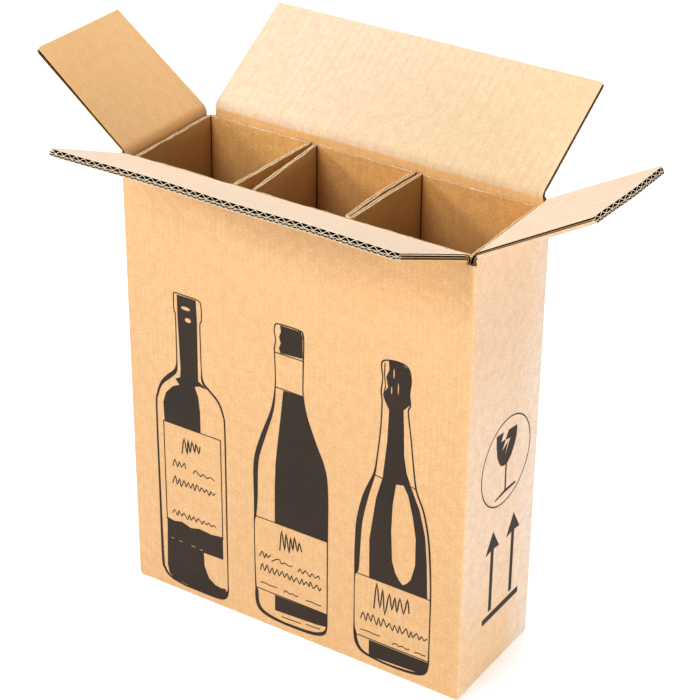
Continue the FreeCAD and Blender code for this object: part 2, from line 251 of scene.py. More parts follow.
# one run of fluting: a waved sheet of paper, laid flat
def buildFluteTree():
    tree = bpy.data.node_groups.new("fluteRun", "GeometryNodeTree")
    tree.interface.new_socket(name="Geometry", in_out="OUTPUT", socket_type="NodeSocketGeometry")
    inputs = {"Float": ("Left", "Right", "Start", "Fold Start", "Fold End", "End", "Level", "Height", "Pitch",
                        "Paper", "Peak"),
              "Int": ("Columns", "Rows"), "Material": ("Finish", "Rim")}
    for kind, names in inputs.items():
        for name in names:
            tree.interface.new_socket(name=name, in_out="INPUT", socket_type="NodeSocket" + kind)
    given = addNode(tree, "NodeGroupInput").outputs

    def calculate(operation, first, second=None):
        return mathStep(tree, operation, first, second)

    grid = addNode(tree, "GeometryNodeMeshGrid", {"Size X": 1.0, "Size Y": 1.0,
                                                  "Vertices X": given["Columns"],
                                                  "Vertices Y": given["Rows"]})
    position = addNode(tree, "GeometryNodeInputPosition").outputs[0]
    gridX, gridY = addNode(tree, "ShaderNodeSeparateXYZ", {0: position}).outputs[:2]
    width = calculate("SUBTRACT", given["Right"], given["Left"])
    across = calculate("ADD", calculate("MULTIPLY", calculate("ADD", gridX, 0.5), width), given["Left"])
    # rows: the first at Start, the last at End, all others between Fold Start and Fold End
    last = calculate("SUBTRACT", given["Rows"], 1)
    row = calculate("MULTIPLY", calculate("ADD", gridY, 0.5), last)
    share = calculate("DIVIDE", calculate("SUBTRACT", row, 1), calculate("SUBTRACT", last, 2))
    zone = calculate("SUBTRACT", given["Fold End"], given["Fold Start"])
    along = calculate("ADD", given["Fold Start"], calculate("MULTIPLY", share, zone))
    for isRow, value in ((calculate("LESS_THAN", row, 0.5), given["Start"]),
                         (calculate("GREATER_THAN", row, calculate("SUBTRACT", last, 0.5)), given["End"])):
        along = addNode(tree, "GeometryNodeSwitch", {"Switch": isRow, "False": along, "True": value},
                        input_type="FLOAT").outputs[0]
    # a wave between a sine and straight legs
    turn = calculate("DIVIDE", calculate("MULTIPLY", across, 2 * math.pi), given["Pitch"])
    wave = calculate("ARCSINE", calculate("MULTIPLY", calculate("SINE", turn), given["Peak"]))
    wave = calculate("DIVIDE", wave, calculate("ARCSINE", given["Peak"]))
    swing = calculate("MULTIPLY", calculate("ADD", wave, 1), 0.5)
    rise = calculate("SUBTRACT", given["Height"], given["Paper"])
    level = calculate("ADD", given["Level"], calculate("MULTIPLY", swing, rise))
    spot = addNode(tree, "ShaderNodeCombineXYZ", {0: across, 1: along, 2: level})
    under = addNode(tree, "GeometryNodeSetPosition", {"Geometry": grid.outputs["Mesh"],
                                                      "Position": spot.outputs[0]}).outputs[0]
    lift = addNode(tree, "ShaderNodeCombineXYZ", {"Z": given["Paper"]})
    raised = addNode(tree, "GeometryNodeExtrudeMesh", {"Individual": False, "Mesh": under,
                                                       "Offset": lift.outputs[0]}, mode="FACES")
    flipped = addNode(tree, "GeometryNodeFlipFaces", {0: under})
    joined = addNode(tree, "GeometryNodeJoinGeometry", {0: raised.outputs["Mesh"]})
    feed(tree, joined, {0: flipped.outputs[0]})
    merged = addNode(tree, "GeometryNodeMergeByDistance", {"Geometry": joined.outputs[0],
                                                           "Distance": 0.000001})
    real = addNode(tree, "GeometryNodeRealizeInstances", {0: merged.outputs[0]})
    painted = addNode(tree, "GeometryNodeSetMaterial", {"Geometry": real.outputs[0],
                                                        "Material": given["Finish"]})
    rim = addNode(tree, "GeometryNodeSetMaterial", {"Geometry": painted.outputs[0], "Material": given["Rim"],
                                                    "Selection": raised.outputs["Side"]})
    addNode(tree, "NodeGroupOutput", {0: rim.outputs[0]})
    return tree


fluteTree = buildFluteTree()
print("fluting tree made:", len(fluteTree.nodes), "nodes")


def fluteMesh(sizes):                     # the tree's result as a plain mesh, still flat
    holder = bpy.data.objects.new("fluteRun", bpy.data.meshes.new("fluteRun"))
    bpy.context.scene.collection.objects.link(holder)
    modifier = holder.modifiers.new("fluteRun", "NODES")
    modifier.node_group = fluteTree
    for item in fluteTree.interface.items_tree:
        if item.in_out == "INPUT":
            modifier[item.identifier] = sizes[item.name]
    holder.update_tag()
    graph = bpy.context.evaluated_depsgraph_get()
    mesh = bpy.data.meshes.new_from_object(holder.evaluated_get(graph))
    holder.modifiers.remove(modifier)
    bpy.data.objects.remove(holder)
    return mesh


# flat layers, then one call that folds them into place
def addSheet(bm, columns, rows, low, high, under, over, edge, sideEdge=None):
    sides = []
    for level in (low, high):
        sides.append([[bm.verts.new((u, s, level)) for s in rows] for u in columns])
    lastU, lastS = len(columns) - 1, len(rows) - 1

    def face(corners, finishName):
        bm.faces.new(corners).material_index = slots.index(finishName)

    for i in range(lastU):
        for j in range(lastS):
            for side, finishName in ((sides[0], under), (sides[1], over)):
                face((side[i][j], side[i + 1][j], side[i + 1][j + 1], side[i][j + 1]), finishName)
    for i in range(lastU):
        for j in (0, lastS):
            face((sides[0][i][j], sides[0][i + 1][j], sides[1][i + 1][j], sides[1][i][j]), edge)
    for j in range(lastS):
        for i in (0, lastU):
            face((sides[0][i][j], sides[0][i][j + 1], sides[1][i][j + 1], sides[1][i][j]), sideEdge or edge)


def addFlute(bm, left, right, rows, level, height, paperThick, pitch, perWave, inner="flute",
             rim="edge", sideRim=None):
    columns = int((right - left) / pitch * perWave) + 1
    mesh = fluteMesh({
        "Left": left, "Right": right, "Start": rows[0], "Fold Start": rows[1],
        "Fold End": rows[-2], "End": rows[-1], "Level": level, "Height": height,
        "Pitch": pitch, "Paper": paperThick, "Columns": columns, "Rows": len(rows),
        "Peak": board["peak"], "Finish": finish[inner], "Rim": finish[rim]})
    names = [material.name if material else "" for material in mesh.materials]
    before = len(bm.faces)
    bm.from_mesh(mesh)
    bm.faces.ensure_lookup_table()
    for face in bm.faces[before:]:
        isRim = names[face.material_index] == finish[rim].name
        isSide = sideRim and abs(face.calc_center_median().y - rows[-1]) > 1e-5
        face.material_index = slots.index((sideRim if isSide else rim) if isRim else inner)
    bpy.data.meshes.remove(mesh)


def addDoubleWall(bm, left, right, columns, rows):
    level, inset = 0.0, board["inset"]
    addSheet(bm, columns, rows, level, level + board["liner"], "outside", "flute", "edge", "sideCut")
    level += board["liner"]
    addFlute(bm, left, right, rows, level, board["fineHeight"], board["finePaper"], board["finePitch"],
             board["perFine"], sideRim="sideCut")
    level += board["fineHeight"]
    addSheet(bm, columns, rows, level, level + board["middle"], "flute", "flute", "edge", "sideCut")
    level += board["middle"]
    addFlute(bm, left + inset, right - inset, rows, level, board["coarseHeight"], board["coarsePaper"],
             board["coarsePitch"], board["perCoarse"])
    level += board["coarseHeight"]
    addSheet(bm, columns, rows, level, level + board["liner"], "flute", "inside", "edge", "sideCut")


def settle(bm, place, mapStart=0.0, mapRun=1, mapRise=0.0):    # flat map, then every point into its place
    flat = bm.loops.layers.uv.get("boardMap") or bm.loops.layers.uv.new("boardMap")
    for face in bm.faces:
        if face.tag:
            continue
        for loop in face.loops:
            spot = loop.vert.co
            loop[flat].uv = (mapStart + mapRun * spot.x + spot.z,
                             spot.y + mapRise + spot.z * board["mapSlant"])
        face.tag = True
    for vert in bm.verts:
        if not vert.tag:
            vert.co = place(*vert.co)
            vert.tag = True


def toObject(name, bm, materials):
    mesh = bpy.data.meshes.new(name)
    bm.to_mesh(mesh)
    bm.free()
    for material in materials:
        mesh.materials.append(material)
    made = bpy.data.objects.new(name, mesh)
    bpy.context.scene.collection.objects.link(made)
    return made


def makePiece(name, bm, bodyName=None, nodes=(), materials=None, smooth=True):
    bmesh.ops.recalc_face_normals(bm, faces=bm.faces)
    piece = toObject(name, bm, materials or finish.values())
    if smooth:
        for polygon in piece.data.polygons:
            polygon.use_smooth = True
        piece.data.set_sharp_from_angle(angle=math.radians(40))
    if nodes:
        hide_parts(*nodes)
    if bodyName:
        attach(piece, bodyName)
    print(name, len(piece.data.polygons), "faces")
    return piece


# the carton's wall as one strip, seen from above, from the joint round to the joint
walls = {
    "cornerRadius": 0.0034, "cornerCrush": 0.22, "crushReach": 0.006,
    "bottomRadius": 0.004, "bottomGap": 0.0003,
    "postTop": 0.0016,                    # corner posts stand this far above the wall
    "postReach": {"front": 0.1511, "back": 0.1536, "right": (-0.0553, 0.0511), "left": 0.0556},
    "near": (0.001, 0.0025, 0.004, 0.006),               # columns of points beside a corner
    "footRow": 0.0008, "postRow": 0.0004,                # rows of points next to an end
}
bottom = {
    "clear": 0.0003, "endClear": 0.0002, "sideClear": 0.0004, "layerGap": 0.00005, "endFlap": 0.0523,
    "rowStep": 0.001,
}
jointTab = {"width": 0.034, "foot": 0.026, "head": 0.372, "slant": 0.009, "straight": 0.008}


def wallPath():
    r = walls["cornerRadius"]
    x, y = halfWide - r, halfDeep - r
    runs, quarter = [], r * math.pi / 2
    corners = [((-x, y), 90), ((-x, -y), 180), ((x, -y), 270), ((x, y), 0)]
    position = 0.0
    for k, ((cx, cy), heading) in enumerate(corners):
        nextCorner = corners[(k + 1) % 4][0]
        length = math.hypot(nextCorner[0] - cx, nextCorner[1] - cy)
        runs.append({"kind": "corner", "at": position, "length": quarter, "centre": (cx, cy),
                     "heading": heading})
        position += quarter
        runs.append({"kind": "straight", "at": position, "length": length, "centre": (cx, cy),
                     "heading": heading + 90})
        position += length
    return runs, position


runs, girth = wallPath()
panels = dict(zip(("left", "front", "right", "back"), [r for r in runs if r["kind"] == "straight"]))
mapShift = panels["front"]["at"] + panels["front"]["length"] / 2


def panelMiddle(side):                    # place of a panel's middle along the strip
    return panels[side]["at"] + panels[side]["length"] / 2 - mapShift


# flaps
folding = {
    "crush": 0.35, "crushWide": 0.0032,   # board pressed thinner along the crease
    "pressWide": 0.0035,                  # how far in the cut sides are pressed
    "waver": 0.0007, "waverScale": 14,    # unevenness of the sheet
    "edgeWaver": 0.0004, "edgeScale": 40,                # and of the front flap's free edge
    "neck": 0.004,                        # below the fold, where the sides go from slot to fold width
    "reach": 0.0062,                      # the fold moves this far each side of its middle
    "slantFrom": 0.9, "slantWide": 0.06,  # far corners are shaped past this share of the length
    "rowsBelow": (0.0055, 0.0040, 0.0025), "rowsAbove": (0.0020, 0.0080),    # points, from the bend's ends
    "bendSpill": 0.001,                   # the bend's own points reach this far past it
    "lip": (0.0, 0.0004, 0.0010, 0.0018, 0.0030), "lipEnd": 0.0045, "columnStep": 0.008,    # from each side
}
flapSizes = {   # low and high: ends at the slot, at the fold, at the free edge; ridge: fold above the axis
    "front": {"inward": (0, 1), "run": 1, "length": 0.1031, "short": 0.0, "bow": 0.0006,
              "low": (-0.151, -0.151, -0.151), "high": (0.151, 0.151, 0.151),
              "ridge": 0.0007, "halfBend": 0.0022, "round": (0.0008, 0.0008), "press": (0.2, 0.2)},
    "back": {"inward": (0, -1), "run": -1, "length": 0.106, "short": 0.0, "bow": -0.0008,
             "low": (-0.1455, -0.1465, -0.148), "high": (0.1535, 0.152, 0.151),
             "ridge": -0.0046, "halfBend": 0.0023, "round": (0.0012, 0.0010), "press": (0.35, 0.35)},
    "right": {"inward": (-1, 0), "run": 1, "length": 0.106, "short": 0.0062, "bow": 0.0004,
              "low": (-0.0552, -0.0546, -0.0475), "high": (0.0510, 0.0510, 0.0505),
              "ridge": -0.0034, "halfBend": 0.0021, "round": (0.0015, 0.0030), "press": (0.62, 0.55)},
    "left": {"inward": (1, 0), "run": -1, "length": 0.106, "short": 0.0, "bow": -0.0006,
             "low": (-0.0555, -0.0552, -0.0505), "high": (0.0490, 0.0500, 0.0505),
             "ridge": -0.0034, "halfBend": 0.0021, "round": (0.0035, 0.0008), "press": (0.72, 0.42)},
}


def foldLine(side):                       # middle line of the board, over the bend, to the free edge
    sizes = flapSizes[side]
    swing = opened[side] - math.pi / 2
    face = thick - axisIn                 # inner face, measured from the fold axis
    edge = Vector((face * math.cos(swing) - sizes["length"] * math.sin(swing),
                   face * math.sin(swing) + sizes["length"] * math.cos(swing)))
    corner = Vector((face, sizes["ridge"]))
    turn = math.atan2(corner.x - edge.x, edge.y - corner.y)
    radius = 2 * sizes["halfBend"] / turn
    cut = (radius + thick / 2) * math.tan(turn / 2)
    begin = sizes["ridge"] - cut
    straight = (edge - corner).length - cut
    return {"turn": turn, "radius": radius, "begin": begin, "bendEnd": begin + 2 * sizes["halfBend"],
            "end": begin + 2 * sizes["halfBend"] + straight}


def flapPlace(side):
    sizes, line, origin = flapSizes[side], foldLine(side), folds[side]
    inX, inY = sizes["inward"]
    start = slotFloor - origin.z
    midBend = line["begin"] + sizes["halfBend"]
    middle = thick / 2 - axisIn
    lows, highs = sizes["low"], sizes["high"]

    def outline(ends, s):                 # one side edge of the flap
        toFold = ramp(s, midBend - folding["neck"], midBend)
        atFold = ends[0] + (ends[1] - ends[0]) * toFold
        return atFold + (ends[2] - ends[1]) * max(0.0, (s - midBend) / (line["end"] - midBend))

    def place(u, s, n):
        share = (u - lows[2]) / (highs[2] - lows[2])
        low, high = outline(lows, s), outline(highs, s)
        out = max(0.0, (s - line["bendEnd"]) / (line["end"] - line["bendEnd"]))
        u = low + share * (high - low)
        if out > folding["slantFrom"]:    # far corners
            for gap, radius in ((u - low, sizes["round"][0]), (high - u, sizes["round"][1])):
                inset = max(0.0, radius - gap)
                s -= radius - math.sqrt(max(0.0, radius ** 2 - inset ** 2))
            s -= sizes["short"] * (1 - ramp(u, low, low + folding["slantWide"]))
        if side == "front":
            s += folding["edgeWaver"] * out * noise.noise(Vector((u * folding["edgeScale"], 1.5, 0)))
        pinch = folding["crush"] * math.exp(-((s - midBend) / folding["crushWide"]) ** 2)
        nearSide = min(u - low, high - u)
        depth = (n - thick / 2) * (1 - pinch)
        if out > 0:                       # sides pressed thinner by the knife
            nearFold, nearEnd = sizes["press"]
            press = nearFold + (nearEnd - nearFold) * out
            depth += (thick / 2 - depth) * press * (1 - ramp(nearSide, 0.0, folding["pressWide"]))
        depth += sizes["bow"] * 4 * out * (1 - out)
        chance = noise.noise(Vector((u * folding["waverScale"], origin.x * 9 + origin.y * 31, 0.3)))
        depth += folding["waver"] * out * chance
        bend = min(max(s - line["begin"], 0.0), 2 * sizes["halfBend"])
        angle = bend / line["radius"]
        inward = middle - line["radius"] * (1 - math.cos(angle)) + depth * math.cos(angle)
        up = min(s, line["begin"]) + line["radius"] * math.sin(angle) + depth * math.sin(angle)
        rest = max(0.0, s - line["bendEnd"])
        inward -= rest * math.sin(angle)
        up += rest * math.cos(angle)
        return Vector((origin.x + inX * inward + abs(inY) * u,
                       origin.y + inY * inward + abs(inX) * u, origin.z + up))

    return place, start


def makeFlap(side):
    sizes, line = flapSizes[side], foldLine(side)
    left, right = sizes["low"][2], sizes["high"][2]
    place, start = flapPlace(side)
    begin, bendEnd, spill = line["begin"], line["bendEnd"], folding["bendSpill"]
    rows = [begin - back for back in folding["rowsBelow"]]
    rows += spread(begin - spill, bendEnd + spill, 11)
    rows += spread(*(bendEnd + rise for rise in folding["rowsAbove"]), 5)
    rows = [start] + [row for row in rows if row > start + spill / 2] + [line["end"]]
    lip, lipEnd = folding["lip"], folding["lipEnd"]
    columns = [left + d for d in lip]
    columns += spread(left + lipEnd, right - lipEnd, int((right - left) / folding["columnStep"]))
    columns += [right - d for d in reversed(lip)]
    bm = bmesh.new()
    addDoubleWall(bm, left, right, columns, rows)
    settle(bm, place, panelMiddle(side), sizes["run"], folds[side].z)
    piece = makePiece(side + "FlapBoard", bm, nodes=[side + "_flap"])
    inX, inY = sizes["inward"]
    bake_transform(piece)
    return piece


for side in flapSizes:
    makeFlap(side)


# carton: walls, corner posts between the slots, bottom flaps and glued tab
def wallPlace(u, s, n):
    at = (u + mapShift) % girth
    run = next((r for r in runs if at < r["at"] + r["length"]), runs[-1])
    if u + mapShift >= girth:
        run, at = runs[-1], u + mapShift
    local = at - run["at"]
    r, angle = walls["cornerRadius"], math.radians(run["heading"])
    if run["kind"] == "corner":
        angle += local / r
        onward = fromCorner = 0.0
    else:
        onward, fromCorner = local, min(local, run["length"] - local)
    baseX = run["centre"][0] + r * math.cos(angle) - onward * math.sin(angle)
    baseY = run["centre"][1] + r * math.sin(angle) + onward * math.cos(angle)
    depth = n * (1 - walls["cornerCrush"] * (1 - ramp(fromCorner, 0.0, walls["crushReach"])))
    roll = walls["bottomRadius"]
    if s < roll:                          # rounded in at the foot
        depth += roll - math.sqrt(max(0.0, roll ** 2 - (roll - s) ** 2))
    return Vector((baseX - depth * math.cos(angle), baseY - depth * math.sin(angle), s))


def stripColumns(low, high):              # closely set at the corners, ends included
    near = walls["near"]
    columns = []
    for run in runs:
        begin, end = run["at"] - mapShift, run["at"] + run["length"] - mapShift
        if run["kind"] == "corner":
            columns += spread(begin, end, 7)
        else:
            columns += [begin + d for d in near] + [end - d for d in reversed(near)]
    inside = [c for c in columns if low + 1e-5 < c < high - 1e-5]
    return [low] + sorted(set(inside)) + [high]


def flatPlace(u, s, n):
    return Vector((u, s, n))


def addBottom(bm):                        # front and back flap whole, the end flaps on top of them
    inX, inY, radius = halfWide - thick, halfDeep - thick, walls["bottomRadius"]
    end, step = inX - bottom["clear"], bottom["rowStep"]
    addDoubleWall(bm, -end, end, spread(-end, end, 4),
                  [radius - halfDeep, radius - halfDeep + step, halfDeep - 2 * step, halfDeep - step])
    settle(bm, flatPlace)
    end, side = inX - bottom["endClear"], inY - bottom["sideClear"]
    for x0, x1, layer in ((-end, end, 1), (-end, -bottom["endFlap"], 2), (bottom["endFlap"], end, 2)):
        addSheet(bm, spread(x0, x1, 3), [-side, side], layer * thick + bottom["layerGap"],
                 (layer + 1) * thick, "outside", "inside", "edge")
        settle(bm, flatPlace)


def addJointTab(bm):                      # glued on, wrapped round the back left corner
    tab, r, outer = jointTab, walls["cornerRadius"], caseHigh.y
    rise = outer - halfDeep
    quarter = r * math.pi / 2
    columns = [0.0, rise] + [rise + quarter * i / 6 for i in range(1, 7)]
    columns += [rise + quarter + (tab["width"] - r) * i / 4 for i in range(1, 5)]

    def place(u, s, n):
        if u <= rise:
            x, y, angle = -halfWide, halfDeep - r + u, math.pi
        elif u <= rise + quarter:
            angle = math.pi - (u - rise) / r
            x = -halfWide + r + r * math.cos(angle)
            y = outer - r + r * math.sin(angle)
        else:
            x, y, angle = -halfWide + r + (u - rise - quarter), outer, math.pi / 2
        reach = max(0.0, x + halfWide - tab["straight"]) / (tab["width"] - tab["straight"])
        foot = tab["foot"] + tab["slant"] * reach
        head = tab["head"] - tab["slant"] * reach
        return Vector((x - n * math.cos(angle), y - n * math.sin(angle), foot + s * (head - foot)))

    addSheet(bm, columns, spread(0.0, 1.0, 3), 0.0, rise - bottom["layerGap"], "outside", "inside", "edge")
    settle(bm, place)


def makeCarton():
    bm = bmesh.new()
    left, right = -mapShift, girth - mapShift
    rows = [walls["bottomGap"]] + spread(walls["footRow"], walls["bottomRadius"], 5) + [slotFloor]
    addDoubleWall(bm, left, right, stripColumns(left, right), rows)
    settle(bm, wallPlace)
    # corner posts: from one flap's end round the corner to the next flap's end
    reach, top = walls["postReach"], slotFloor + walls["postTop"]
    posts = [(panelMiddle("front") + reach["front"], panelMiddle("right") + reach["right"][0]),
             (panelMiddle("right") + reach["right"][1], panelMiddle("back") - reach["back"]),
             (panelMiddle("left") + reach["left"], panelMiddle("front") - reach["front"])]
    rows = [slotFloor] + spread(slotFloor + walls["postRow"], top - walls["postRow"], 3) + [top]
    for low, high in posts:
        addDoubleWall(bm, low, high, stripColumns(low, high), rows)
        settle(bm, wallPlace)
    addBottom(bm)
    addJointTab(bm)
    return makePiece("cartonBoard", bm, "carton", ["case"])


makeCarton()

# folded cell insert, one strip of single-wall board standing on its edge
insertSizes = {
    "thick": 0.003, "liner": 0.0009, "paper": 0.0004, "pitch": insertPitch, "perWave": 6,
    "fold": 0.0024, "gap": 0.0011, "leftGap": 0.0013,
    "crease": 0.0011, "creaseWide": 0.0011, "creaseReach": 0.004,
    "rim": 0.001, "ragged": 0.0008, "raggedScale": (110, 400),    # the upper edge: how far down it is uneven
    "columnStep": 0.006,
    "openLeaves": ((-0.0532, -0.0575), (-0.0470, -0.0402)),              # x at the fold, at the free edge
    "loopLeaves": ((0.0432, 0.0406, 0.0416), (0.0494, 0.0466, 0.0460)),  # x at the fold, half way, at the end
    "bowAt": 0.002, "bowRadius": 0.04, "nose": 0.00205,
}


def insertRoute():
    sizes = insertSizes
    half = sizes["thick"] / 2
    x, y, r = insertHigh.x - half, insertHigh.y - half, sizes["fold"]
    edge, left = -y + half + sizes["gap"], sizes["leftGap"] - x
    (foldA, freeA), (foldD, freeD) = sizes["openLeaves"]
    (foldC, bowC, noseC), (foldB, bowB, noseB) = sizes["loopLeaves"]
    return [(freeA, edge, 0), (foldA, y, r), (left, y, r), (left, -y, r), (x, -y, r), (x, y, r),
            (foldB, y, r), (bowB, sizes["bowAt"], sizes["bowRadius"]), (noseB, edge + half, sizes["nose"]),
            (noseC, edge + half, sizes["nose"]), (bowC, sizes["bowAt"], sizes["bowRadius"]),
            (foldC, y, r), (foldD, y, r), (freeD, edge, 0)]


def routeRuns(points):                    # straight runs and arcs as (start, length, place along it)
    spots = [Vector(p[:2]) for p in points]
    ways = [(b - a).normalized() for a, b in zip(spots, spots[1:])]
    parts, at, start = [], 0.0, spots[0]
    for i in range(1, len(spots)):
        finishPoint, reach = spots[i], 0.0
        if i < len(spots) - 1:
            turn = math.atan2(ways[i - 1].cross(ways[i]), ways[i - 1].dot(ways[i]))
            reach = points[i][2] * math.tan(abs(turn) / 2)
            finishPoint = spots[i] - ways[i - 1] * reach
        length = (finishPoint - start).length
        parts.append({"at": at, "length": length, "start": start, "way": ways[i - 1], "turn": 0.0})
        at += length
        if i < len(spots) - 1:
            radius = points[i][2]
            parts.append({"at": at, "length": abs(turn) * radius, "start": finishPoint, "way": ways[i - 1],
                          "turn": math.copysign(1 / radius, turn)})
            at += abs(turn) * radius
            start = spots[i] + ways[i] * reach
    return parts, at


def turned(spot, angle):                  # anticlockwise in the plan
    return Vector((spot.x * math.cos(angle) - spot.y * math.sin(angle),
                   spot.x * math.sin(angle) + spot.y * math.cos(angle)))


def makeInsert():
    sizes = insertSizes
    parts, total = routeRuns(insertRoute())
    low, high = insertLow.z, insertHigh.z
    half, edgeFrom = sizes["thick"] / 2, high - sizes["rim"]
    folded = [(p["at"] + p["length"] / 2, math.copysign(1, p["turn"])) for p in parts
              if abs(p["turn"]) > 1 / sizes["thick"]]

    def place(u, s, n):
        part = next((p for p in parts if u <= p["at"] + p["length"] + 1e-9), parts[-1])
        local = u - part["at"]
        way = part["way"]
        side = Vector((-way.y, way.x))
        offset = n - half
        for spot, sense in folded:        # creased on the inside of the fold
            if abs(u - spot) < sizes["creaseReach"] and offset * sense > 0:
                offset -= offset * sizes["crease"] / half * math.exp(-((u - spot) / sizes["creaseWide"]) ** 2)
        if part["turn"]:
            radius = 1 / part["turn"]
            angle = local * part["turn"]
            centre = part["start"] + side * radius
            spoke = -turned(centre - part["start"], angle)
            side = turned(side, angle)
            spot = centre + spoke + side * offset
        else:
            spot = part["start"] + way * local + side * offset
        if s > edgeFrom:
            along, through = sizes["raggedScale"]
            s += sizes["ragged"] * noise.noise(Vector((u * along, n * through, 3.7)))
        return Vector((spot.x, spot.y, s))

    columns = []
    for part in parts:
        count = 9 if part["turn"] else max(2, int(part["length"] / sizes["columnStep"]))
        for c in spread(part["at"], part["at"] + part["length"], count):
            if not columns or c > columns[-1] + 1e-6:
                columns.append(c)
    rows = [low, low + sizes["rim"], edgeFrom, high]
    bm = bmesh.new()
    liner, flute = sizes["liner"], sizes["thick"] - 2 * sizes["liner"]
    addSheet(bm, columns, rows, 0.0, liner, "insert", "insertFlute", "insertEdge")
    addSheet(bm, columns, rows, liner + flute, sizes["thick"], "insertFlute", "insert", "insertEdge")
    for face in bm.faces:                 # shaded line down each crease
        middle = face.calc_center_median()
        for spot, sense in folded:
            onInside = (middle.z - half) * sense > half - 1e-6
            if onInside and abs(middle.x - spot) < sizes["creaseWide"] * 0.5:
                face.material_index = slots.index("flute")
    addFlute(bm, 0.0, total, rows, liner, flute, sizes["paper"], sizes["pitch"], sizes["perWave"],
             "insertFlute", "insertEdge")
    settle(bm, place)
    return makePiece("cellInsert", bm, "carton", ["insert"])


makeInsert()

# printed figures: flat ink shapes a hair proud of the liner, drawn in millimetres as (across, up),
# with the line's width as a third number round an outline
ink = {
    "proud": 0.00003, "over": 0.00001, "thick": 0.00006,           # metres; lines lie a little over the fills
    "line": 1.2, "thin": 0.95,                                     # widths, millimetres
}
finish["ink"] = paper("printInk", (44, 34, 26), (34, 25, 19), (72, 56, 44), grain=1.2, sheen=0.0, shine=0.25)


def smoothLine(points, closed=False, steps=4):    # a rounded line through the points
    count = len(points)
    line = []
    for i in range(count if closed else count - 1):
        around = [points[(i + k) % count] if closed else points[min(max(i + k, 0), count - 1)]
                  for k in (-1, 0, 1, 2)]
        before, here, after, beyond = (Vector(p) for p in around)
        for k in range(steps):
            t = k / steps
            line.append(0.5 * (2 * here + (after - before) * t
                               + (2 * before - 5 * here + 4 * after - beyond) * t ** 2
                               + (3 * here - before - 3 * after + beyond) * t ** 3))
    if not closed:
        line.append(Vector(points[-1]))
    return line


def inkSolid(bm, loops, place):           # a filled outline, then any bare spots in it
    flat = [[Vector((x, z, 0)) for x, z in loop] for loop in loops]
    levels = []
    for level in (ink["proud"], ink["proud"] + ink["thick"]):
        verts = [bm.verts.new(place(p.x, p.y, level)) for loop in flat for p in loop]
        for corners in geometry.tessellate_polygon(flat):
            bm.faces.new([verts[i] for i in corners])
        levels.append(verts)
    start = 0
    for loop in flat:
        for i in range(len(loop)):
            a, b = start + i, start + (i + 1) % len(loop)
            bm.faces.new((levels[0][a], levels[0][b], levels[1][b], levels[1][a]))
        start += len(loop)


def inkLine(bm, points, place, closed=False):     # a stroke through (x, z, width) points
    spots = [Vector(p[:2]) for p in points]
    count = len(spots)
    edges = ([], [])
    for i, spot in enumerate(spots):
        before = spots[i - 1] if closed or i else spot
        after = spots[(i + 1) % count] if closed or i < count - 1 else spot
        first = (spot - before if i or closed else after - spot).normalized()
        second = (after - spot if after != spot else spot - before).normalized()
        across = Vector((-first.y - second.y, first.x + second.x))
        across = across.normalized() / max(0.5, across.length / 2)
        for side, sense in zip(edges, (-1, 1)):
            side.append(spot + across * sense * points[i][2] / 2)
    rings = [[[bm.verts.new(place(*p, level)) for p in side] for side in edges]
             for level in (ink["proud"] - ink["over"], ink["proud"] + ink["over"] + ink["thick"])]
    (lowA, lowB), (highA, highB) = rings
    for i in range(count if closed else count - 1):
        j = (i + 1) % count
        for a, b in ((lowA, lowB), (lowB, highB), (highB, highA), (highA, lowA)):
            bm.faces.new((a[i], a[j], b[j], b[i]))
    if not closed:
        for i in (0, -1):
            bm.faces.new((lowA[i], lowB[i], highB[i], highA[i]))


writing = {   # loops that start tall and get lower; chance makes them uneven and moves them along
    "first": 1.15, "fall": 0.6, "least": 0.55, "uneven": 1.2, "stray": 0.6, "chanceStep": 1.7, "boldFrom": 6,
}


def scribble(left, right, level, height, count, seed):    # a line that looks written, on a label
    line = []
    width = ink["line"] if height > writing["boldFrom"] else ink["thin"]
    for k in range(count + 1):
        chance = noise.noise(Vector((seed, k * writing["chanceStep"], 0.5)))
        share = k / count
        reach = height * (writing["first"] - writing["fall"] * share)
        reach *= writing["least"] + writing["uneven"] * abs(chance)
        line.append((left + (right - left) * (share + writing["stray"] * chance / count),
                     level + (reach if k % 2 else -reach), width))
    return line


def oval(x, z, width, height, points=12):
    turns = [k * 2 * math.pi / points for k in range(points)]
    return [(x + width / 2 * math.cos(turn), z + height / 2 * math.sin(turn)) for turn in turns]


